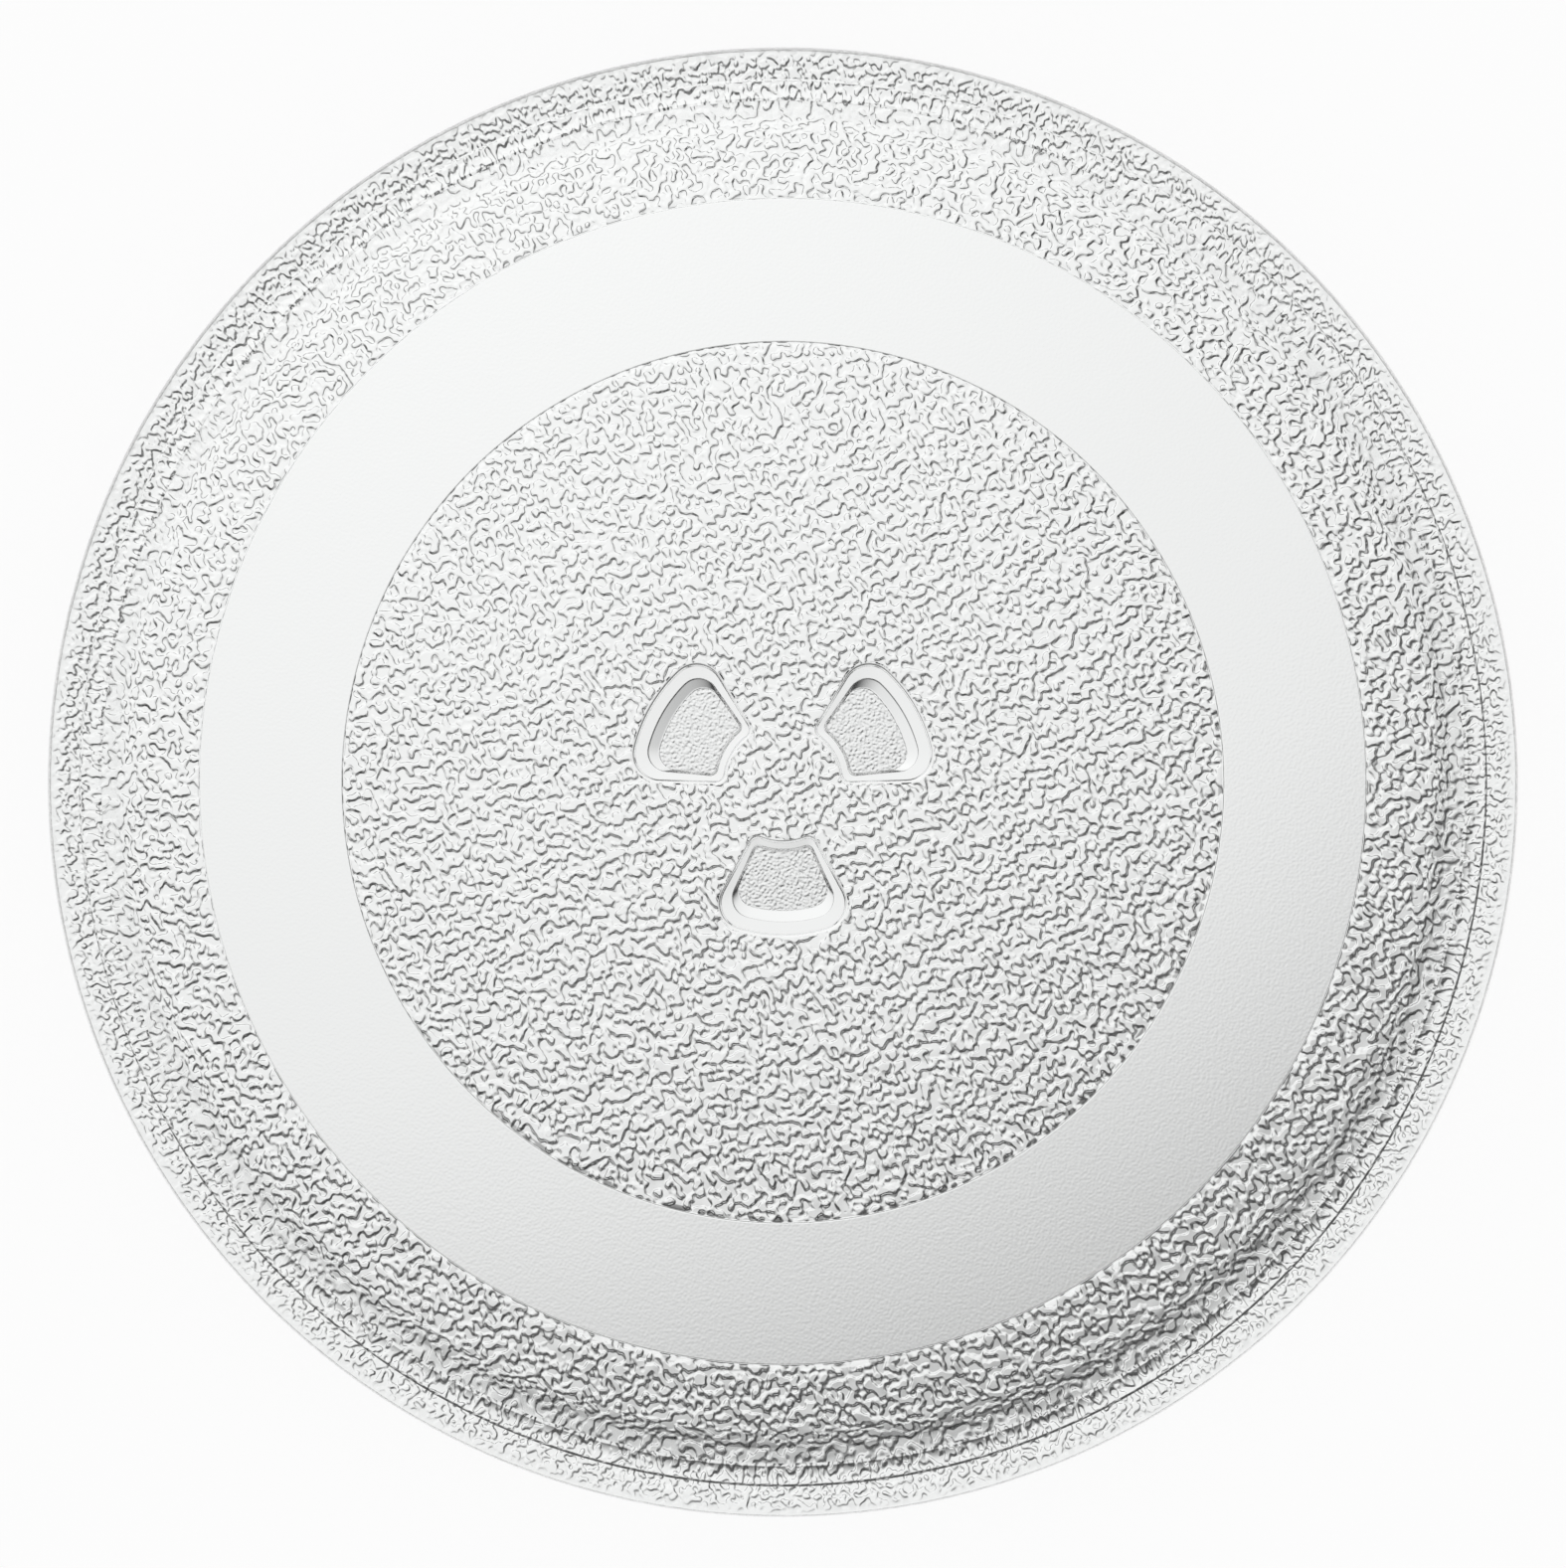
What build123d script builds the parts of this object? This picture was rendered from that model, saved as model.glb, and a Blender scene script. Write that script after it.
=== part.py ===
from build123d import *
import math
import os

# Overall sizes, in millimetres; z = 0 is the surface that the three lugs stand on
plate_diameter = 245.0
base_thickness = 5.0
lug_drop = 5.5
rim_rise = 9.5

# Rim section: a tapering lip with a seam in it, then a steep wall down to the well; insets from the outer edge
lip_slope = 24.0
lip_taper = 12.5
edge_height = 3.9
edge_draft = 8.0
edge_round = 0.3
edge_flats = 2
seam_inset = 5.4
seam_step = 0.5
seam_run = 0.2
wall_inset = 12.1
wall_slope = 56.0
wall_thickness = 4.15

# Radii of the rim's bends, which are drawn as short flats
well_bend = 3.4
shoulder_bend = 6.5
under_well_bend = 5.4
under_lip_bend = 1.0
bend_flats = 3

# Smooth roller track in the underside, between two textured bands
border_width = 12.3
track_width = 24.0
track_depth = 0.4
track_edge_run = 0.15

# Drive lugs: ring sectors that taper from their roots in the underside down to their feet
lug_count = 3
first_lug_angle = 30.0
root_inner_radius = 10.0
root_outer_radius = 25.6
root_half_angle = 28.7
root_outer_corner = 4.3
foot_inner_radius = 11.3
foot_outer_radius = 23.3
foot_half_angle = 24.3
foot_outer_corner = 3.3
inner_corner = 1.3

# Bevels of the lugs' edges; each foot also has a ramp along its outer arc
root_bevel = 0.4
foot_bevel = 0.5
foot_ramp = 1.4

# Heights and radii that follow from the sizes above
underside_z = lug_drop
cooking_z = underside_z + base_thickness
rim_z = cooking_z + rim_rise
plate_radius = plate_diameter / 2
seam_radius = plate_radius - seam_inset
well_radius = plate_radius - wall_inset
track_outer_radius = well_radius - border_width
track_inner_radius = track_outer_radius - track_width


def along(angle, length=1.0):
    """A vector of the given length in the section's plane, turned from the radius towards +Z."""
    return Vector(length * math.cos(math.radians(angle)), length * math.sin(math.radians(angle)))


def below(point, slope, distance):
    """The point that lies a distance under a line of the given slope, square to it."""
    return point - along(slope + 90.0, distance)


def meeting(point_a, slope_a, point_b, slope_b):
    """Where two sloping lines of the section cross."""
    direction_a = along(slope_a)
    direction_b = along(slope_b)
    gap = point_b - point_a
    reach = gap.cross(direction_b).Z / direction_a.cross(direction_b).Z
    return point_a + direction_a * reach


def bend(before, corner, after, radius):
    """Points of a round corner between two straight runs of the section."""
    back = (before - corner).normalized()
    ahead = (after - corner).normalized()
    half = back.get_angle(ahead) / 2
    middle = corner + (back + ahead).normalized() * (radius / math.sin(math.radians(half)))
    start = corner + back * (radius / math.tan(math.radians(half))) - middle
    turn = math.copysign(180.0 - 2 * half, ahead.cross(back).Z)
    return [middle + start.rotate(Axis.Z, turn * flat / bend_flats) for flat in range(bend_flats + 1)]


def rounded(face, point, radius):
    """The face with its corner nearest to the point rounded."""
    corner = face.vertices().sort_by_distance(point)[0]
    return fillet(corner, radius)


def plate_section():
    """Half section of the plate, with the radius along X and the height along Y."""
    lip_bottom = Vector(plate_radius, rim_z - edge_height)
    edge_level = Vector(0, rim_z - edge_round)
    edge_side = lip_bottom - along(edge_draft, edge_round)
    edge = meeting(edge_side, edge_draft + 90.0, edge_level, 0.0)
    lip_top = edge + along(lip_slope + 90.0, edge_round)
    turn = 90.0 - edge_draft
    crown = [edge + along(90.0 - turn * flat / edge_flats, edge_round) for flat in range(edge_flats + 1)]

    seam = meeting(lip_top, lip_slope, Vector(seam_radius, rim_z), 90.0)
    ledge = seam - Vector(seam_run, seam_step)
    middle = Vector(0, cooking_z)
    well = Vector(well_radius, cooking_z)
    shoulder = meeting(ledge, lip_slope, well, wall_slope)

    under_middle = Vector(0, underside_z)
    wall_back = below(well, wall_slope, wall_thickness)
    under_lip = meeting(lip_bottom, lip_slope + lip_taper, wall_back, wall_slope)
    under_well = meeting(wall_back, wall_slope, under_middle, 0.0)

    track_roof = underside_z + track_depth
    outline = Polyline(
        under_middle,
        middle,
        *bend(middle, well, shoulder, well_bend),
        *bend(well, shoulder, ledge, shoulder_bend),
        ledge,
        seam,
        lip_top,
        *crown,
        lip_bottom,
        *bend(lip_bottom, under_lip, under_well, under_lip_bend),
        *bend(under_lip, under_well, under_middle, under_well_bend),
        (track_outer_radius + track_edge_run, underside_z),
        (track_outer_radius, track_roof),
        (track_inner_radius, track_roof),
        (track_inner_radius - track_edge_run, underside_z),
        under_middle,
    )
    return make_face(outline)


def ring_sector(share, growth, ramp=0.0):
    """A lug's outline on +X at a share of its height from root to foot, grown all round, less the ramp's run."""
    inner_radius = root_inner_radius + share * (foot_inner_radius - root_inner_radius) - growth
    outer_radius = root_outer_radius + share * (foot_outer_radius - root_outer_radius) + growth - ramp
    half_angle = root_half_angle + share * (foot_half_angle - root_half_angle)
    outer_corner = root_outer_corner + share * (foot_outer_corner - root_outer_corner)

    arcs = []
    for radius in (inner_radius, outer_radius):
        reach = half_angle + math.degrees(math.asin(growth / radius))
        arcs.append(CenterArc((0, 0), radius, -reach, 2 * reach))
    inner_arc, outer_arc = arcs
    sides = Line(inner_arc @ 0, outer_arc @ 0) + Line(inner_arc @ 1, outer_arc @ 1)
    sector = make_face(inner_arc + outer_arc + sides)
    for arc, corner in ((inner_arc, inner_corner), (outer_arc, outer_corner)):
        sector = rounded(sector, arc @ 0, corner + growth)
        sector = rounded(sector, arc @ 1, corner + growth)
    return sector


def lug():
    """One drive lug, rooted in the base: the levels give the height, the share, the growth and the ramp's run."""
    levels = [
        (underside_z + base_thickness / 2, 0.0, root_bevel, 0.0),
        (underside_z, 0.0, root_bevel, 0.0),
        (underside_z - root_bevel, root_bevel / lug_drop, 0.0, 0.0),
        (foot_bevel, 1.0 - foot_bevel / lug_drop, 0.0, 0.0),
        (0.0, 1.0, -foot_bevel / 2, foot_ramp),
    ]
    outlines = [Pos(0, 0, z) * ring_sector(share, growth, ramp) for z, share, growth, ramp in levels]
    return loft(outlines, ruled=True)


def turntable_plate():
    """The pressed plate: the turned section with three drive lugs under its middle."""
    plate = revolve(Plane.XZ * plate_section(), Axis.Z)
    turns = [Rot(0, 0, first_lug_angle + turn * 360.0 / lug_count) for turn in range(lug_count)]
    plate += [turn * lug() for turn in turns]
    return plate


os.makedirs("parts", exist_ok=True)
export_step(turntable_plate(), "parts/turntable_plate.step")
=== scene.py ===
import math

import bpy
import numpy as np
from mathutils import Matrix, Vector
from mathutils.geometry import delaunay_2d_cdt


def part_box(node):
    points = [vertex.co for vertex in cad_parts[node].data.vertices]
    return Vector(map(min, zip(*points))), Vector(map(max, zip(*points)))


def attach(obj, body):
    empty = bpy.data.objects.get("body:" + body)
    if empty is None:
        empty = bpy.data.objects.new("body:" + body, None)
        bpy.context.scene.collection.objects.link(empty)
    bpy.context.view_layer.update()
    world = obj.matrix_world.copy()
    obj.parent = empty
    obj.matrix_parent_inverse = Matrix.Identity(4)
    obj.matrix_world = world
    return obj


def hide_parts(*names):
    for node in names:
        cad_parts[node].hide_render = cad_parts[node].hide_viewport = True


bl_info = {
    "name": "Pressed glass turntable plate",
    "version": (1, 0, 0),
    "blender": (4, 5, 0),
    "location": "3D View > Sidebar > Glass plate",
    "description": "Builds a stippled glass turntable plate around its packed solid, with a plain studio",
    "category": "Add Mesh",
}

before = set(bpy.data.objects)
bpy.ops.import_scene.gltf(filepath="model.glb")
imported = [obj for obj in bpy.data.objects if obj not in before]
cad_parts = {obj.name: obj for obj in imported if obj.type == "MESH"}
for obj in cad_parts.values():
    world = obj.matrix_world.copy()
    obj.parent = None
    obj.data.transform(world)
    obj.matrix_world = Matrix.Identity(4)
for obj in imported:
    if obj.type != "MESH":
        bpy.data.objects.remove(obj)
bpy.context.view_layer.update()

PLATE_NODE = "turntable_plate"
MM = 0.001
STIPPLE = "stipple"
FROST = "frost"
CLEAR = "clear"
PLATE_LOW, PLATE_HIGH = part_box(PLATE_NODE)

# Vertices in a circle of the smooth and of the textured faces
SMOOTH_COLUMNS = 240
TEXTURE_COLUMNS = 960

# Inside this circle the faces are filled round the lugs; outside it they are rings
HUB_RADIUS = 33.5 * MM

# Narrow strips beside sharp edges, which keep the shading of the faces apart
GUARD = 0.25 * MM
WELL_GUARD = GUARD * 2
SEAM_GUARD = GUARD * 0.3
FINE_GUARD = GUARD * 0.5

# The stipple's weight on the strips beside the roller track
GUARD_STIPPLE = 0.6

# Steps of the section's bends and arcs, and of a lug's outline
WELL_STEPS = 10
SHOULDER_STEPS = 8
SEAM_STEPS = 4
EDGE_STEPS = (3, 6)
LIP_CORNER_STEPS = 4
UNDER_LIP_STEPS = 3
UNDER_WELL_STEPS = 9
OUTLINE_STEPS = {"inner_arc": 12, "inner_corner": 8, "side": 12, "outer_corner": 10, "outer_arc": 24}
ROOT_STEPS = 4
BEVEL_PARTS = (0.12, 0.88, 1.0)

# Edge lengths of the coarser faces
WALL_STEP = 1.2 * MM
LIP_STEP = 1.0 * MM
FOOT_STEP = 1.2 * MM

# Rows of even triangles: their distance, and the part of a turn by which each ring is shifted
TRIANGLE_HEIGHT = math.sqrt(3) / 2
RING_SHIFT = 0.618

# Grid vertices keep this share of a step from an outline; vertices this close are one
OUTLINE_CLEARANCE = 0.55
MERGE_DISTANCE = 1e-7

# The noise is turned out of the axes, so that its cells don't show
NOISE_TURN = (0.6, 0.5, 0.4)
NOISE_MIDDLE = 0.5

# Any more frost than this gives a face the frost's grain
FROST_TRACE = 0.001

# Half height of the soft step between the air above and the backdrop below
HORIZON = 0.05
WHITE = (1.0, 1.0, 1.0, 1.0)
SENSOR_WIDTH = 36.0
CLIP_START = 10.0 * MM


def length_prop(name, description, millimetres):
    """A length that is stored in metres and shown in the scene's unit."""
    return bpy.props.FloatProperty(name=name, description=description, default=millimetres * MM,
                                   unit="LENGTH", precision=5, step=0.01)


def plain_prop(name, description, value, low=0.0, high=1000.0):
    """A plain number with soft limits."""
    return bpy.props.FloatProperty(name=name, description=description, default=value,
                                   soft_min=low, soft_max=high, precision=4)


def angle_prop(name, description, degrees):
    """An angle that is stored in radians and shown in degrees."""
    return bpy.props.FloatProperty(name=name, description=description, default=math.radians(degrees),
                                   subtype="ANGLE")


def colour_prop(name, description, value):
    """A linear colour."""
    return bpy.props.FloatVectorProperty(name=name, description=description, default=value, size=3,
                                         subtype="COLOR", min=0.0, max=1.0)


def count_prop(name, description, value):
    """A whole number of parts."""
    return bpy.props.IntProperty(name=name, description=description, default=value, min=1)


class PlateSizes(bpy.types.PropertyGroup):
    """Sizes of the pressed plate, those of its solid with finer edges."""

    radius: length_prop("Radius", "Outer radius of the rim", (PLATE_HIGH.x - PLATE_LOW.x) / 2 / MM)
    rim_height: length_prop("Rim height", "Top of the rim over the lugs' feet", PLATE_HIGH.z / MM)
    cooking_height: length_prop("Cooking face", "Height of the cooking face over the lugs' feet", 10.5)
    underside_height: length_prop("Underside", "Height of the flat underside over the lugs' feet", 5.5)
    lip_slope: angle_prop("Lip slope", "How far the lip rises towards its edge", 24.0)
    lip_taper: angle_prop("Lip taper", "How much steeper the lip's back is", 12.5)
    edge_height: length_prop("Edge height", "Height of the lip's outer face", 3.9)
    edge_draft: angle_prop("Edge draft", "Lean of the lip's outer face, which is widest at its foot", 13.0)
    edge_round: length_prop("Edge round", "Radius of the rim's outer edge", 0.05)
    lip_corner: length_prop("Lip corner", "Radius of the corner under the lip's edge", 0.04)
    seam_inset: length_prop("Seam inset", "From the outer edge to the seam in the lip", 5.4)
    seam_step: length_prop("Seam step", "Height of the small step in the lip", 0.5)
    seam_run: length_prop("Seam run", "Run of the small step in the lip", 0.28)
    seam_round: length_prop("Seam round", "Radius at the top of the step", 0.12)
    wall_inset: length_prop("Wall inset", "From the outer edge to the foot of the wall", 12.1)
    wall_slope: angle_prop("Wall slope", "How steep the wall is", 56.0)
    wall_thickness: length_prop("Wall thickness", "Glass between the wall's two faces", 4.15)
    well_bend: length_prop("Well bend", "Radius at the foot of the wall, inside", 3.4)
    shoulder_bend: length_prop("Shoulder bend", "Radius between wall and lip, inside", 6.5)
    under_well_bend: length_prop("Outer well bend", "Radius at the foot of the wall, outside", 5.4)
    under_lip_bend: length_prop("Outer lip bend", "Radius between wall and lip, outside", 0.5)
    border_width: length_prop("Border width", "Textured ring between the wall and the roller track", 12.3)
    track_width: length_prop("Track width", "Smooth ring that the rollers run on", 24.0)
    track_depth: length_prop("Track depth", "How far the track is sunk into the underside", 0.4)
    track_edge: length_prop("Track edge", "Run of the track's steep edges", 0.03)


class LugSizes(bpy.types.PropertyGroup):
    """Sizes of the three drive lugs, which taper from root to foot."""

    count: count_prop("Lugs", "Drive lugs round the axis", 3)
    first_angle: angle_prop("First lug", "Direction of the first lug", 30.0)
    root_inner: length_prop("Root inner radius", "Inner arc of the lug's root", 10.0)
    root_outer: length_prop("Root outer radius", "Outer arc of the lug's root", 25.6)
    root_half_angle: angle_prop("Root half angle", "Half of the root's sweep", 28.7)
    root_corner: length_prop("Root corner", "Radius of the root's outer corners", 4.3)
    foot_inner: length_prop("Foot inner radius", "Inner arc of the lug's foot", 11.3)
    foot_outer: length_prop("Foot outer radius", "Outer arc of the lug's foot", 23.3)
    foot_half_angle: angle_prop("Foot half angle", "Half of the foot's sweep", 24.3)
    foot_corner: length_prop("Foot corner", "Radius of the foot's outer corners", 3.3)
    inner_corner: length_prop("Inner corner", "Radius of the corners next to the axis", 1.3)
    root_round: length_prop("Root round", "Rounding at the lug's root", 0.4)
    foot_bevel: length_prop("Foot bevel", "Height of the bevel round the foot", 0.5)
    foot_ramp: length_prop("Foot ramp", "Run of the bevel along the foot's outer arc", 1.4)


class StippleLook(bpy.types.PropertyGroup):
    """The worm-like relief that is pressed into the underside."""

    spacing: length_prop("Spacing", "Size of the noise cells behind the worms", 1.25)
    depth: length_prop("Depth", "Relief from pad to groove in the mesh", 0.06)
    bump_depth: length_prop("Bump depth", "Relief from pad to groove in the shading", 0.21)
    softness: plain_prop("Softness", "Half width of the flanks, as a share of the noise", 0.14, 0.01, 0.5)
    swell: plain_prop("Swell", "Size of the mesh's own waves, in worm spacings", 2.4, 1.0, 10.0)
    seed: plain_prop("Seed", "Which of all patterns is used", 0.37, 0.0, 100.0)
    rim_start: length_prop("Rim start", "Radius from which the worms stretch over the rim", 110.0)
    rim_stretch: plain_prop("Rim stretch", "Share of the radius that counts on the rim", 1.0, 0.05, 3.0)
    rim_depth: plain_prop("Rim depth", "Share of the relief on the lip", 0.62)
    edge_fade: length_prop("Edge fade", "Width at the outer edge over which the relief dies out", 1.6)
    crease: length_prop("Crease", "Relief of the sharp crease in the middle of a flank", 0.05)
    crease_width: plain_prop("Crease width", "Half width of the crease, as a share of the noise",
                             0.025, 0.005, 0.1)
    lip_start: length_prop("Lip start", "Radius from which the worms are finer", 115.6)
    lip_fine: plain_prop("Lip fineness", "How many times finer the worms are on the lip", 1.4, 0.5, 3.0)
    mesh_step: length_prop("Mesh step", "Edge length in the textured zones", 0.74)


class GlassLook(bpy.types.PropertyGroup):
    """Clear soda glass with a faint green cast."""

    tint: colour_prop("Tint", "Colour of the glass surface", (0.985, 0.995, 0.99))
    ior: plain_prop("Index", "Refractive index", 1.5, 1.0, 2.0)
    polish: plain_prop("Polish", "Roughness of the smooth faces", 0.012)
    frost: plain_prop("Frost", "Roughness of the lugs' feet", 0.3)
    frost_depth: length_prop("Frost depth", "Relief of the grain on the lugs' feet", 0.2)
    frost_grain: length_prop("Frost grain", "Size of the grain on the lugs' feet", 0.5)
    wall_clear: plain_prop("Clear walls", "How far the lugs' walls pass light straight down", 0.9)
    track_satin: plain_prop("Track satin", "Share of the feet's frost on the roller track", 0.1)


class StudioLook(bpy.types.PropertyGroup):
    """A pale floor, soft light and the camera over the plate."""

    floor_colour: colour_prop("Floor", "Colour of the floor", (0.86, 0.86, 0.86))
    floor_gap: length_prop("Floor gap", "Air under the lugs' feet", 0.3)
    floor_size: length_prop("Floor size", "Side of the floor", 1600.0)
    floor_glow: plain_prop("Floor white", "Share of plain white in the floor that the camera sees", 0.9)
    floor_through: plain_prop("Floor in reflections", "Level of the floor that reflections show", 0.95)
    air: plain_prop("Air", "Level of the light from above", 0.9)
    backdrop: plain_prop("Backdrop", "Level of the pale backdrop under the plate", 1.0)
    field_lean: angle_prop("Field lean", "Lean of the backdrop's bright middle from straight below", 13.0)
    field_heading: angle_prop("Field heading", "Direction that the bright middle leans to, from +X", 118.0)
    field_flat: angle_prop("Field flat", "Half angle of the backdrop's even middle", 5.2)
    field_inner: angle_prop("Field core", "Half angle at which the backdrop starts to darken", 15.5)
    field_outer: angle_prop("Field edge", "Half angle at which the backdrop is dark", 27.5)
    field_dark: plain_prop("Field dark", "How dark the backdrop gets outside the field", 0.97)
    field_fade: plain_prop("Field fade", "How much of its light the field loses towards its edge", 0.34)
    far_start: angle_prop("Far start", "Lean at which the backdrop starts to brighten again", 36.0)
    far_end: angle_prop("Far end", "Lean from which the backdrop is bright again", 42.0)
    far_level: plain_prop("Far level", "Level of the backdrop far out", 0.95)
    camera_distance: length_prop("Camera distance", "From the plate to the camera", 1000.0)
    camera_tilt: angle_prop("Camera tilt", "Lean of the camera towards +Y", 1.5)
    camera_offset: length_prop("Camera offset", "From the plate's axis to the point aimed at, along +Y", 0.2)
    lens: plain_prop("Lens", "Focal length in millimetres", 138.5)


class Wire:
    """A node socket that can be used in an expression; numbers may stand on either side."""

    def __init__(self, tree, socket):
        self.tree = tree
        self.socket = socket

    def node(self, kind, settings=None, values=None, out=0):
        """Adds a node: its settings first, then its sockets' values or links. Gives the chosen output."""
        made = self.tree.nodes.new(kind)
        for name, value in (settings or {}).items():
            setattr(made, name, value)
        for key, value in (values or {}).items():
            if isinstance(value, Wire):
                self.tree.links.new(value.socket, made.inputs[key])
            else:
                made.inputs[key].default_value = value
        return Wire(self.tree, made.outputs[out])

    def math(self, operation, *terms):
        """A Math node on the given terms."""
        return self.node("ShaderNodeMath", {"operation": operation}, dict(enumerate(terms)))

    def vector(self, operation, *terms, out=0, **values):
        """A Vector Math node on the given terms, and on values for named sockets."""
        given = dict(enumerate(terms), **values)
        return self.node("ShaderNodeVectorMath", {"operation": operation}, given, out)

    def attribute(self, name):
        """A weight that is stored on the mesh."""
        return self.node("ShaderNodeAttribute", {"attribute_name": name}, out="Fac")

    def __add__(self, other):
        return self.math("ADD", self, other)

    def __radd__(self, other):
        return self.math("ADD", other, self)

    def __sub__(self, other):
        return self.math("SUBTRACT", self, other)

    def __rsub__(self, other):
        return self.math("SUBTRACT", other, self)

    def __mul__(self, other):
        return self.math("MULTIPLY", self, other)

    def __rmul__(self, other):
        return self.math("MULTIPLY", other, self)

    def __truediv__(self, other):
        return self.math("DIVIDE", self, other)

    def __rtruediv__(self, other):
        return self.math("DIVIDE", other, self)

    def highest(self, other):
        """The larger of two values."""
        return self.math("MAXIMUM", self, other)

    def between(self, low, high):
        """0 below low, 1 above high and a smooth step between them."""
        return self.node("ShaderNodeMapRange", {"interpolation_type": "SMOOTHSTEP"},
                         {"Value": self, "From Min": low, "From Max": high})

    def ramp(self, low, high):
        """0 below low, 1 above high and a straight rise between them."""
        return self.node("ShaderNodeMapRange", values={"Value": self, "From Min": low, "From Max": high})


def worm_noise(position, cell, look):
    """Noise whose middle level runs in worms, stretched outwards over the rim and finer on the lip."""
    across = position.vector("MULTIPLY", position, (1.0, 1.0, 0.0))
    radius = position.vector("LENGTH", across, out="Value")
    squeeze = look.rim_start / radius.highest(look.rim_start)
    flat = position.vector("SCALE", across, Scale=squeeze)
    finer = 1.0 + radius.math("GREATER_THAN", radius, look.lip_start) * (look.lip_fine - 1.0)
    beyond = (radius - look.rim_start).highest(0.0) * look.rim_stretch
    lift = position.node("ShaderNodeCombineXYZ", values={"Z": beyond})
    place = position.vector("ADD", flat, lift)
    shifted = position.vector("ADD", place, (look.seed,) * 3)
    turned = position.node("ShaderNodeVectorRotate", {"rotation_type": "EULER_XYZ"},
                           {"Vector": shifted, "Rotation": NOISE_TURN})
    return position.node("ShaderNodeTexNoise", {"noise_dimensions": "3D"},
                         {"Vector": turned, "Scale": finer / cell, "Detail": 0.0}, out="Fac")


def glass_material(glass, look):
    """Clear glass with crisp worms in the shading, plain lug walls and frosted lug feet."""
    material = bpy.data.materials.new("clear_pressed_glass")
    material.use_nodes = True
    tree = material.node_tree
    tree.nodes.clear()
    output = tree.nodes.new("ShaderNodeOutputMaterial")
    start = Wire(tree, None)
    place = start.node("ShaderNodeTexCoord", out="Object")
    stipple = start.attribute(STIPPLE)
    frost = start.attribute(FROST)
    clear = start.attribute(CLEAR)

    frosted = frost.math("GREATER_THAN", frost, FROST_TRACE)
    worms = worm_noise(place, look.spacing + frosted * (glass.frost_grain - look.spacing), look)
    flank = worms.ramp(NOISE_MIDDLE - look.softness, NOISE_MIDDLE + look.softness)
    crease = worms.ramp(NOISE_MIDDLE - look.crease_width, NOISE_MIDDLE + look.crease_width)
    relief = (flank - 1.0) * look.bump_depth + (crease - 1.0) * look.crease
    height = relief * stipple + worms * frost * glass.frost_depth
    bumped = start.node("ShaderNodeBump", values={"Strength": 1.0, "Distance": 1.0, "Height": height})

    # The lugs' walls are shaded as if level; a face that is met from behind has its normal turned round
    level = clear * glass.wall_clear
    facing = start.vector("SCALE", bumped, Scale=1.0 - level)
    behind = start.node("ShaderNodeNewGeometry", out="Backfacing")
    downwards = start.node("ShaderNodeCombineXYZ", values={"Z": level * (behind * 2.0 - 1.0)})
    normal = start.vector("NORMALIZE", start.vector("ADD", facing, downwards))

    roughness = glass.polish + frost * glass.frost
    surface = start.node("ShaderNodeBsdfPrincipled", values={
        "Base Color": (*glass.tint, 1.0),
        "Roughness": roughness,
        "IOR": glass.ior,
        "Transmission Weight": 1.0,
        "Normal": normal,
    })
    tree.links.new(surface.socket, output.inputs["Surface"])
    return material


def stipple_tree(look):
    """Geometry Nodes that press the worms into the textured faces, inwards only."""
    tree = bpy.data.node_groups.new("pressed_stipple", "GeometryNodeTree")
    face = tree.interface
    face.new_socket("Geometry", in_out="OUTPUT", socket_type="NodeSocketGeometry")
    face.new_socket("Geometry", in_out="INPUT", socket_type="NodeSocketGeometry")
    face.new_socket("Material", in_out="INPUT", socket_type="NodeSocketMaterial")
    for name in ("Depth", "Softness"):
        face.new_socket(name, in_out="INPUT", socket_type="NodeSocketFloat")

    given = tree.nodes.new("NodeGroupInput")
    result = tree.nodes.new("NodeGroupOutput")
    ask = {socket.name: Wire(tree, socket) for socket in given.outputs if socket.name}
    start = ask["Geometry"]
    place = start.node("GeometryNodeInputPosition")
    weight = start.node("GeometryNodeInputNamedAttribute", {"data_type": "FLOAT"}, {"Name": STIPPLE})
    worms = worm_noise(place, look.spacing * look.swell, look)
    pressed = 1.0 - worms.between(NOISE_MIDDLE - ask["Softness"], NOISE_MIDDLE + ask["Softness"])
    outwards = start.node("GeometryNodeInputNormal")
    offset = start.vector("SCALE", outwards, Scale=pressed * weight * ask["Depth"] * -1.0)
    moved = start.node("GeometryNodeSetPosition", values={"Geometry": start, "Offset": offset})
    smooth = start.node("GeometryNodeSetShadeSmooth", values={"Geometry": moved, "Shade Smooth": True})
    real = start.node("GeometryNodeRealizeInstances", values={"Geometry": smooth})
    painted = start.node("GeometryNodeSetMaterial", values={"Geometry": real, "Material": ask["Material"]})
    tree.links.new(painted.socket, result.inputs["Geometry"])
    return tree


class Ring:
    """A closed row of vertices, with the share of a turn at which each one stands."""

    def __init__(self, numbers, shares):
        self.numbers = numbers
        self.shares = list(shares) + [shares[0] + 1.0]

    def __len__(self):
        return len(self.numbers)


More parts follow.
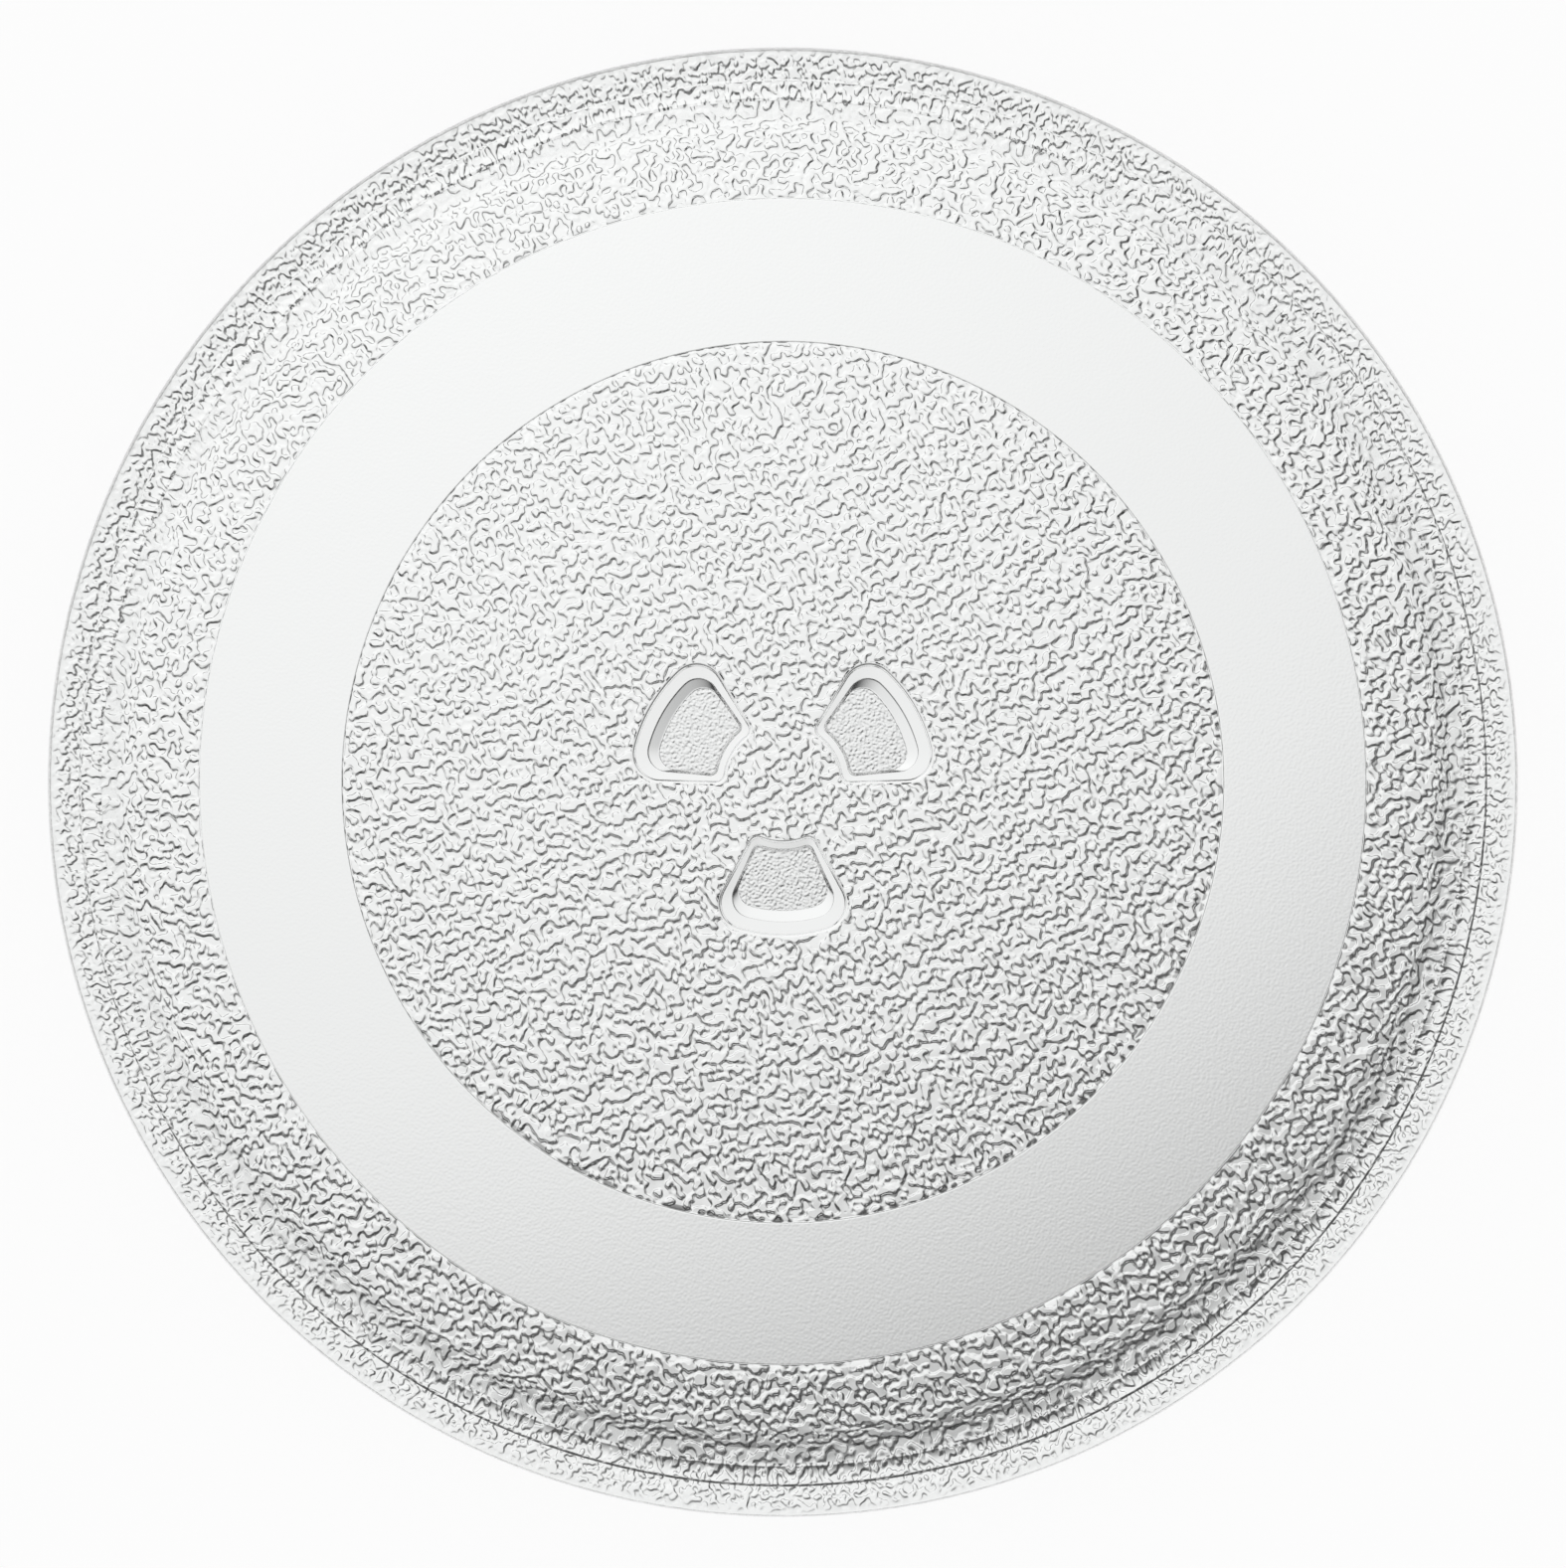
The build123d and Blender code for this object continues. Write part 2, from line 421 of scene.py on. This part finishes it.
class Shell:
    """Vertices, faces and finish weights of one closed mesh, in metres."""

    def __init__(self):
        self.points = []
        self.stipple = []
        self.frost = []
        self.clear = []
        self.faces = []

    def add(self, x, y, z, stipple=0.0, frost=0.0, clear=0.0):
        """One vertex with its finish weights. Gives its number."""
        self.points.append((x, y, z))
        self.stipple.append(stipple)
        self.frost.append(frost)
        self.clear.append(clear)
        return len(self.points) - 1

    def ring(self, radius, height, count, stipple=0.0, turn=0.0, frost=0.0):
        """A level circle of vertices round the axis."""
        shares = [(k + turn) / count for k in range(count)]
        numbers = []
        for share in shares:
            x, y = radius * math.cos(math.tau * share), radius * math.sin(math.tau * share)
            numbers.append(self.add(x, y, height, stipple, frost))
        return Ring(numbers, shares)

    def loop(self, outline, height, stipple=0.0, frost=0.0, clear=0.0):
        """A level outline of vertices."""
        numbers = [self.add(x, y, height, stipple, frost, clear) for x, y in outline]
        return Ring(numbers, [k / len(numbers) for k in range(len(numbers))])

    def stitch(self, first, second):
        """Triangles between two rows; they face upwards where the second row lies outside the first."""
        i = j = 0
        a, b = first.numbers, second.numbers
        while i < len(a) or j < len(b):
            here, there = a[i % len(a)], b[j % len(b)]
            if j == len(b) or (i < len(a) and first.shares[i + 1] < second.shares[j + 1]):
                i += 1
                self.faces.append((here, there, a[i % len(a)]))
            else:
                j += 1
                self.faces.append((here, there, b[j % len(b)]))

    def plan(self, row):
        """A row's vertices, seen from above."""
        return np.array([self.points[n][:2] for n in row.numbers])

    def strip(self, rows):
        """Stitches each row to the next."""
        for first, second in zip(rows, rows[1:]):
            self.stitch(first, second)

    def fill(self, border, holes, inner, upwards):
        """A level face inside a border, with holes and with the given vertices in it."""
        numbers = []
        edges = []
        for row in [border] + holes:
            first, count = len(numbers), len(row)
            numbers += row.numbers
            edges += [(first + k, first + (k + 1) % count) for k in range(count)]
        numbers += inner
        flat = [Vector(self.points[n][:2]) for n in numbers]
        _, _, faces, origins, _, _ = delaunay_2d_cdt(flat, edges, [], 0, MERGE_DISTANCE, True)
        edge, *outlines = (self.plan(row) for row in [border] + holes)
        for face in faces:
            corners = [numbers[origins[k][0]] for k in face]
            middle = np.mean([self.points[n][:2] for n in corners], axis=0)
            if not inside(middle, edge) or any(inside(middle, outline) for outline in outlines):
                continue
            self.faces.append(tuple(corners if upwards else corners[::-1]))


def inside(point, outline):
    """Whether a point lies within a closed outline."""
    x, y = point
    x0, y0 = outline[:, 0], outline[:, 1]
    x1, y1 = np.roll(x0, -1), np.roll(y0, -1)
    spans = (y0 > y) != (y1 > y)
    with np.errstate(divide="ignore", invalid="ignore"):
        crossing = x0 + (y - y0) * (x1 - x0) / (y1 - y0)
    return bool(np.count_nonzero(spans & (x < crossing)) % 2)


def arc(centre, radius, start, end, steps):
    """Points of an arc in the section's plane, both ends included, with angles in degrees."""
    angles = np.radians(np.linspace(start, end, steps + 1))
    return [(centre[0] + radius * math.cos(a), centre[1] + radius * math.sin(a)) for a in angles]


def straight(start, end, step):
    """Points between two ends, without them, about a step apart."""
    count = max(2, round(math.dist(start, end) / step))
    return [tuple(np.add(start, np.multiply(np.subtract(end, start), k / count))) for k in range(1, count)]


def crossing(point_a, slope_a, point_b, slope_b):
    """Where two lines of the section cross; slopes in radians."""
    along_a = np.array((math.cos(slope_a), math.sin(slope_a)))
    along_b = np.array((math.cos(slope_b), math.sin(slope_b)))
    gap = np.subtract(point_b, point_a)
    reach = (gap[0] * along_b[1] - gap[1] * along_b[0]) / (along_a[0] * along_b[1] - along_a[1] * along_b[0])
    return np.add(point_a, along_a * reach)


def bend(before, corner, after, radius, steps):
    """Points of a round corner between two straight lines of the section."""
    before, corner, after = (np.array(p, float) for p in (before, corner, after))
    back = (before - corner) / np.linalg.norm(before - corner)
    ahead = (after - corner) / np.linalg.norm(after - corner)
    half = math.acos(float(np.clip(back @ ahead, -1.0, 1.0))) / 2
    middle = (back + ahead) / np.linalg.norm(back + ahead)
    centre = corner + middle * (radius / math.sin(half))
    start = corner + back * (radius / math.tan(half)) - centre
    end = corner + ahead * (radius / math.tan(half)) - centre
    turn = math.atan2(start[0] * end[1] - start[1] * end[0], start @ end)
    points = []
    for k in range(steps + 1):
        angle = math.atan2(start[1], start[0]) + turn * k / steps
        points.append((centre[0] + radius * math.cos(angle), centre[1] + radius * math.sin(angle)))
    return points


def rim_section(p):
    """The section from the cooking face over the rim to the flat underside.

    Gives the upper side down to the corner under the lip, that corner, the two bends of the back, and the
    outer radius of the roller track.
    """
    lip_bottom = np.array((p.radius, p.rim_height - p.edge_height))
    off_edge = np.array((math.cos(p.edge_draft), math.sin(p.edge_draft)))
    edge_top = p.rim_height - p.edge_round * (1 - off_edge[1])
    lip_side = np.array((p.radius - (edge_top - lip_bottom[1]) * math.tan(p.edge_draft), edge_top))
    edge = lip_side - off_edge * p.edge_round
    up_lip = np.array((math.cos(p.lip_slope), math.sin(p.lip_slope)))
    off_lip = np.array((-up_lip[1], up_lip[0]))
    lip_top = edge + off_lip * p.edge_round
    seam_radius = p.radius - p.seam_inset
    seam = crossing(lip_top, p.lip_slope, (seam_radius, p.rim_height), math.pi / 2)
    ledge = seam - np.array((p.seam_run, p.seam_step))
    well = np.array((p.radius - p.wall_inset, p.cooking_height))
    shoulder = crossing(ledge, p.lip_slope, well, p.wall_slope)
    off_wall = np.array((-math.sin(p.wall_slope), math.cos(p.wall_slope)))

    wall_back = well - off_wall * p.wall_thickness
    under_lip = crossing(lip_bottom, p.lip_slope + p.lip_taper, wall_back, p.wall_slope)
    under_well = crossing(wall_back, p.wall_slope, (0.0, p.underside_height), 0.0)
    track_outer = well[0] - p.border_width

    top = [(HUB_RADIUS, p.cooking_height)]
    foot = bend((HUB_RADIUS, p.cooking_height), well, shoulder, p.well_bend, WELL_STEPS)
    top += [(foot[0][0] - WELL_GUARD, p.cooking_height)] + foot
    brow = bend(well, shoulder, ledge, p.shoulder_bend, SHOULDER_STEPS)
    top += straight(foot[-1], brow[0], WALL_STEP) + brow
    top += straight(brow[-1], ledge, LIP_STEP)
    top += [tuple(ledge - up_lip * SEAM_GUARD), tuple(ledge)]
    crest = bend(ledge, seam, lip_top, p.seam_round, SEAM_STEPS)
    top += crest
    top += [tuple(np.add(crest[-1], up_lip * FINE_GUARD))]
    top += straight(crest[-1], lip_top, LIP_STEP)
    round_start = math.degrees(p.lip_slope) + 90.0
    round_end = math.degrees(p.edge_draft)
    top += arc(edge, p.edge_round, round_start, 90.0, EDGE_STEPS[0])
    top += arc(edge, p.edge_round, 90.0, round_end, EDGE_STEPS[1])[1:]
    corner = bend(lip_side, lip_bottom, under_lip, p.lip_corner, LIP_CORNER_STEPS)
    top += corner

    middle = (0.0, p.underside_height)
    bend_lip = bend(lip_bottom, under_lip, under_well, p.under_lip_bend, UNDER_LIP_STEPS)
    bend_well = bend(under_lip, under_well, middle, p.under_well_bend, UNDER_WELL_STEPS)
    return top, corner, bend_lip, bend_well, track_outer


def corner_points(centre, radius, first, last, steps):
    """Points of a corner's arc, without its last one."""
    start, end = first - centre, last - centre
    turn = math.atan2(start[0] * end[1] - start[1] * end[0], start @ end)
    begin = math.atan2(start[1], start[0])
    return [(centre[0] + radius * math.cos(begin + turn * k / steps),
             centre[1] + radius * math.sin(begin + turn * k / steps)) for k in range(steps)]


def sector_outline(inner, outer, reach_inner, reach_outer, corner_inner, corner_outer):
    """A ring sector on +X with round corners, anticlockwise from the middle of its outer arc."""
    start = np.array((inner * math.cos(reach_inner), inner * math.sin(reach_inner)))
    end = np.array((outer * math.cos(reach_outer), outer * math.sin(reach_outer)))
    along = (end - start) / np.linalg.norm(end - start)
    inwards = np.array((along[1], -along[0]))
    pieces = {}
    ends = (("outer", outer, corner_outer, -1.0), ("inner", inner, corner_inner, 1.0))
    for name, radius, corner, sign in ends:
        base = start + inwards * corner
        reach = radius + sign * corner
        half = base @ along
        rest = base @ base - reach * reach
        root = math.sqrt(half * half - rest)
        centre = base + along * (-half + root)
        touch_side = centre - inwards * corner
        touch_arc = centre * (radius / np.linalg.norm(centre))
        first, last = (touch_arc, touch_side) if name == "outer" else (touch_side, touch_arc)
        pieces[name] = (centre, corner, first, last)

    steps = OUTLINE_STEPS
    half_outline = []
    outer_end = math.atan2(pieces["outer"][2][1], pieces["outer"][2][0])
    inner_end = math.atan2(pieces["inner"][3][1], pieces["inner"][3][0])
    half_steps = steps["outer_arc"] // 2
    for k in range(half_steps):
        angle = outer_end * k / half_steps
        half_outline.append((outer * math.cos(angle), outer * math.sin(angle)))
    half_outline += corner_points(*pieces["outer"], steps["outer_corner"])
    side_start, side_end = pieces["outer"][3], pieces["inner"][2]
    for k in range(steps["side"]):
        half_outline.append(tuple(side_start + (side_end - side_start) * k / steps["side"]))
    half_outline += corner_points(*pieces["inner"], steps["inner_corner"])
    half_steps = steps["inner_arc"] // 2
    for k in range(half_steps):
        angle = inner_end * (1 - k / half_steps)
        half_outline.append((inner * math.cos(angle), inner * math.sin(angle)))
    half_outline.append((inner, 0.0))
    return half_outline + [(x, -y) for x, y in half_outline[-2:0:-1]]


def lug_outline(lug, share, growth, ramp, turn):
    """A lug's outline at a share of its height, grown all round, less the ramp's run, turned into place."""
    inner = lug.root_inner + share * (lug.foot_inner - lug.root_inner) - growth
    outer = lug.root_outer + share * (lug.foot_outer - lug.root_outer) + growth - ramp
    half = lug.root_half_angle + share * (lug.foot_half_angle - lug.root_half_angle)
    corner = lug.root_corner + share * (lug.foot_corner - lug.root_corner)
    reach_inner = half + math.asin(growth / inner)
    reach_outer = half + math.asin(growth / outer)
    outline = sector_outline(inner, outer, reach_inner, reach_outer, lug.inner_corner + growth, corner + growth)
    c, s = math.cos(turn), math.sin(turn)
    return [(x * c - y * s, x * s + y * c) for x, y in outline]


def lug_levels(lug, drop):
    """Rows of a lug from root to foot: how far down, grown by how much, and the ramp's run."""
    levels = [(0.0, lug.root_round + GUARD, 0.0)]
    for k in range(ROOT_STEPS + 1):
        angle = math.pi / 2 * k / ROOT_STEPS
        levels.append((lug.root_round * (1 - math.cos(angle)), lug.root_round * (1 - math.sin(angle)), 0.0))
    bevel_top = drop - lug.foot_bevel
    levels += [(lug.root_round + FINE_GUARD, 0.0, 0.0), (bevel_top / 2, 0.0, 0.0)]
    levels += [(bevel_top - FINE_GUARD, 0.0, 0.0), (bevel_top, 0.0, 0.0)]
    levels += [(bevel_top + lug.foot_bevel * part, -lug.foot_bevel / 2 * part, lug.foot_ramp * part)
               for part in BEVEL_PARTS]
    levels += [(drop, -lug.foot_bevel / 2 - FINE_GUARD, lug.foot_ramp)]
    return levels


def grid_points(shell, border, holes, height, step, stipple, frost):
    """Vertices on a triangle grid inside a border and clear of its holes."""
    edge, *outlines = (shell.plan(row) for row in [border] + holes)
    low, high = edge.min(axis=0), edge.max(axis=0)
    every = np.vstack([edge] + outlines)
    made = []
    row_step = step * TRIANGLE_HEIGHT
    for row in range(int((high[1] - low[1]) / row_step) + 1):
        for column in range(int((high[0] - low[0]) / step) + 1):
            point = np.array((low[0] + (column + 0.5 * (row % 2)) * step, low[1] + row * row_step))
            if not inside(point, edge) or any(inside(point, outline) for outline in outlines):
                continue
            if np.min(np.hypot(*(every - point).T)) < OUTLINE_CLEARANCE * step:
                continue
            made.append(shell.add(point[0], point[1], height, stipple, frost))
    return made


def build_shell(p, lug, look, track_satin):
    """The closed mesh of the plate, before its stipple is pressed."""
    shell = Shell()
    top, corner, bend_lip, bend_well, track_outer = rim_section(p)
    step = look.mesh_step

    top_rows = [shell.ring(r, z, SMOOTH_COLUMNS) for r, z in top]
    shell.strip(top_rows)

    back = straight(corner[-1], bend_lip[0], step) + bend_lip + straight(bend_lip[-1], bend_well[0], step)
    back += bend_well
    flat_end = track_outer + p.track_edge
    level = p.underside_height
    back += straight(bend_well[-1], (flat_end + GUARD, level), step)
    rows = [top_rows[-1]]
    for number, (r, z) in enumerate(back):
        share = min(1.0, (z - level) / (bend_well[0][1] - level))
        weight = (1.0 - share * (1.0 - look.rim_depth)) * min(1.0, (p.radius - r) / look.edge_fade)
        rows.append(shell.ring(r, z, TEXTURE_COLUMNS, weight, 0.5 * (number % 2)))
    rows.append(shell.ring(flat_end + GUARD, level, TEXTURE_COLUMNS, GUARD_STIPPLE))
    rows.append(shell.ring(flat_end, level, TEXTURE_COLUMNS))
    roof = level + p.track_depth
    track_inner = track_outer - p.track_width
    rows.append(shell.ring(track_outer, roof, TEXTURE_COLUMNS))
    rows.append(shell.ring(track_outer - GUARD, roof, SMOOTH_COLUMNS, frost=track_satin))
    inner_columns = round(math.tau * track_inner / step)
    rows.append(shell.ring(track_inner + GUARD, roof, SMOOTH_COLUMNS, frost=track_satin))
    rows.append(shell.ring(track_inner, roof, inner_columns))
    disc_edge = track_inner - p.track_edge
    rows.append(shell.ring(disc_edge, level, inner_columns))
    rows.append(shell.ring(disc_edge - GUARD, level, inner_columns, GUARD_STIPPLE))
    count = round((disc_edge - GUARD - HUB_RADIUS) / (step * TRIANGLE_HEIGHT))
    for k in range(1, count + 1):
        r = disc_edge - GUARD + (HUB_RADIUS - disc_edge + GUARD) * k / count
        rows.append(shell.ring(r, level, round(math.tau * r / step), 1.0, (k * RING_SHIFT) % 1.0))
    shell.strip(rows)

    roots = []
    drop = p.underside_height
    levels = lug_levels(lug, drop)
    for k in range(lug.count):
        turn = lug.first_angle + math.tau * k / lug.count
        loops = []
        for number, (down, growth, ramp) in enumerate(levels):
            weight = 1.0 if number == 0 else 0.0
            frost = 1.0 if number == len(levels) - 1 else 0.0
            clear = 1.0 if lug.root_round < down < drop - lug.foot_bevel else 0.0
            outline = lug_outline(lug, down / drop, growth, ramp, turn)
            loops.append(shell.loop(outline, drop - down, weight, frost, clear))
        shell.strip(loops)
        foot = loops[-1]
        shell.fill(foot, [], grid_points(shell, foot, [], 0.0, FOOT_STEP, 0.0, 1.0), False)
        roots.append(loops[0])

    shell.fill(top_rows[0], [], [], True)
    hub = rows[-1]
    shell.fill(hub, roots, grid_points(shell, hub, roots, level, step, 1.0, 0.0), False)
    return shell


def shell_mesh(shell, name):
    """A Blender mesh with the finish weights as point attributes."""
    mesh = bpy.data.meshes.new(name)
    mesh.from_pydata(shell.points, [], shell.faces)
    for title, values in ((STIPPLE, shell.stipple), (FROST, shell.frost), (CLEAR, shell.clear)):
        mesh.attributes.new(title, "FLOAT", "POINT").data.foreach_set("value", values)
    mesh.update()
    return mesh


class PLATE_OT_press(bpy.types.Operator):
    """Builds the glass plate and presses its stipple"""

    bl_idname = "plate.press"
    bl_label = "Press the plate"

    def execute(self, context):
        scene = context.scene
        look, glass = scene.stipple_look, scene.glass_look
        shell = build_shell(scene.plate_sizes, scene.lug_sizes, look, glass.track_satin)
        plate = bpy.data.objects.new("glass_plate", shell_mesh(shell, "glass_plate"))
        scene.collection.objects.link(plate)
        tree = stipple_tree(look)
        modifier = plate.modifiers.new("pressed_stipple", "NODES")
        modifier.node_group = tree
        sockets = tree.interface.items_tree
        inputs = {item.name: item.identifier for item in sockets if item.in_out == "INPUT"}
        modifier[inputs["Material"]] = glass_material(glass, look)
        modifier[inputs["Depth"]] = look.depth
        modifier[inputs["Softness"]] = look.softness
        depsgraph = context.evaluated_depsgraph_get()
        evaluated = plate.evaluated_get(depsgraph)
        pressed = bpy.data.meshes.new_from_object(evaluated, preserve_all_data_layers=True, depsgraph=depsgraph)
        plate.modifiers.clear()
        blank = plate.data
        plate.data = pressed
        bpy.data.meshes.remove(blank)
        pressed.name = "glass_plate"
        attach(plate, "root")
        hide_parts(PLATE_NODE)
        return {"FINISHED"}


def floor_material(studio):
    """A pale matt floor that camera and reflections see as white, with the plate's shadow left in it."""
    material = bpy.data.materials.new("studio_floor")
    material.use_nodes = True
    tree = material.node_tree
    tree.nodes.clear()
    output = tree.nodes.new("ShaderNodeOutputMaterial")
    start = Wire(tree, None)
    camera = start.node("ShaderNodeLightPath", out="Is Camera Ray")
    glossy = start.node("ShaderNodeLightPath", out="Is Glossy Ray")
    through = start.node("ShaderNodeLightPath", out="Is Transmission Ray")
    seen = glossy.highest(through) * (1.0 - camera)
    share = camera * studio.floor_glow + seen
    matt = start.node("ShaderNodeBsdfDiffuse", values={"Color": (*studio.floor_colour, 1.0)})
    strength = camera + seen * studio.floor_through
    white = start.node("ShaderNodeEmission", values={"Color": WHITE, "Strength": strength})
    mixed = start.node("ShaderNodeMixShader", values={"Fac": share, 1: matt, 2: white})
    tree.links.new(mixed.socket, output.inputs["Surface"])
    return material


def studio_world(studio):
    """Even air above and a pale backdrop below: a bright field of limited width, bright again far out."""
    world = bpy.data.worlds.new("studio_air")
    world.use_nodes = True
    tree = world.node_tree
    tree.nodes.clear()
    output = tree.nodes.new("ShaderNodeOutputWorld")
    start = Wire(tree, None)
    camera = start.node("ShaderNodeLightPath", out="Is Camera Ray")
    lean, heading = studio.field_lean, studio.field_heading
    aim = (math.sin(lean) * math.cos(heading), math.sin(lean) * math.sin(heading), -math.cos(lean))
    towards = start.node("ShaderNodeTexCoord", out="Generated")
    near = start.vector("DOT_PRODUCT", towards, aim, out="Value")
    angle = near.math("ARCCOSINE", near)
    edge = 1.0 - angle.between(studio.field_inner, studio.field_outer) * studio.field_dark
    fade = 1.0 - angle.ramp(studio.field_flat, studio.field_outer) * studio.field_fade
    height = start.node("ShaderNodeSeparateXYZ", values={0: towards}, out="Z")
    above = height.between(-HORIZON, HORIZON)
    down = height.math("ARCCOSINE", height * -1.0)
    far = down.between(studio.far_start, studio.far_end) * studio.far_level
    below = (edge * fade).highest(far) * studio.backdrop
    level = camera.highest(above * studio.air + (1.0 - above) * below)
    air = start.node("ShaderNodeBackground", values={"Color": WHITE, "Strength": level})
    tree.links.new(air.socket, output.inputs["Surface"])
    return world


class PLATE_OT_stage(bpy.types.Operator):
    """Sets the floor, the soft light and the camera"""

    bl_idname = "plate.stage"
    bl_label = "Set the studio"

    def execute(self, context):
        scene = context.scene
        studio = scene.studio_look
        half = studio.floor_size / 2
        mesh = bpy.data.meshes.new("studio_floor")
        corners = [(-half, -half), (half, -half), (half, half), (-half, half)]
        mesh.from_pydata([(x, y, -studio.floor_gap) for x, y in corners], [], [(0, 1, 2, 3)])
        mesh.materials.append(floor_material(studio))
        floor = bpy.data.objects.new("studio_floor", mesh)
        scene.collection.objects.link(floor)
        # Through the glass the backdrop is seen in the floor's place
        floor.visible_transmission = False

        scene.world = studio_world(studio)

        eye = bpy.data.cameras.new("camera")
        eye.sensor_fit = "HORIZONTAL"
        eye.sensor_width = SENSOR_WIDTH
        eye.lens = studio.lens
        eye.clip_start = CLIP_START
        viewer = bpy.data.objects.new("camera", eye)
        target = Vector((0.0, studio.camera_offset, scene.plate_sizes.rim_height))
        tilt = studio.camera_tilt
        viewer.location = target + Vector((0.0, math.sin(tilt), math.cos(tilt))) * studio.camera_distance
        viewer.rotation_euler = (-tilt, 0.0, 0.0)
        scene.collection.objects.link(viewer)
        scene.camera = viewer
        scene.view_settings.view_transform = "Standard"
        return {"FINISHED"}


class PLATE_PT_sidebar(bpy.types.Panel):
    """Lists the plate's steps and sizes"""

    bl_idname = "PLATE_PT_sidebar"
    bl_label = "Glass plate"
    bl_space_type = "VIEW_3D"
    bl_region_type = "UI"
    bl_category = "Glass plate"

    def draw(self, context):
        layout = self.layout
        for operator in OPERATORS:
            layout.operator(operator.bl_idname)
        for group in GROUPS:
            box = layout.box()
            settings = getattr(context.scene, group)
            box.label(text=GROUPS[group].__doc__)
            for name in GROUPS[group].__annotations__:
                box.prop(settings, name)


GROUPS = {
    "plate_sizes": PlateSizes,
    "lug_sizes": LugSizes,
    "stipple_look": StippleLook,
    "glass_look": GlassLook,
    "studio_look": StudioLook,
}
OPERATORS = (PLATE_OT_press, PLATE_OT_stage)


def register():
    for kind in (*GROUPS.values(), *OPERATORS, PLATE_PT_sidebar):
        bpy.utils.register_class(kind)
    for name, kind in GROUPS.items():
        setattr(bpy.types.Scene, name, bpy.props.PointerProperty(type=kind))


def unregister():
    for name in GROUPS:
        delattr(bpy.types.Scene, name)
    for kind in (PLATE_PT_sidebar, *OPERATORS[::-1], *list(GROUPS.values())[::-1]):
        bpy.utils.unregister_class(kind)


def main():
    register()
    bpy.ops.plate.press()
    bpy.ops.plate.stage()


if __name__ == "__main__":
    main()
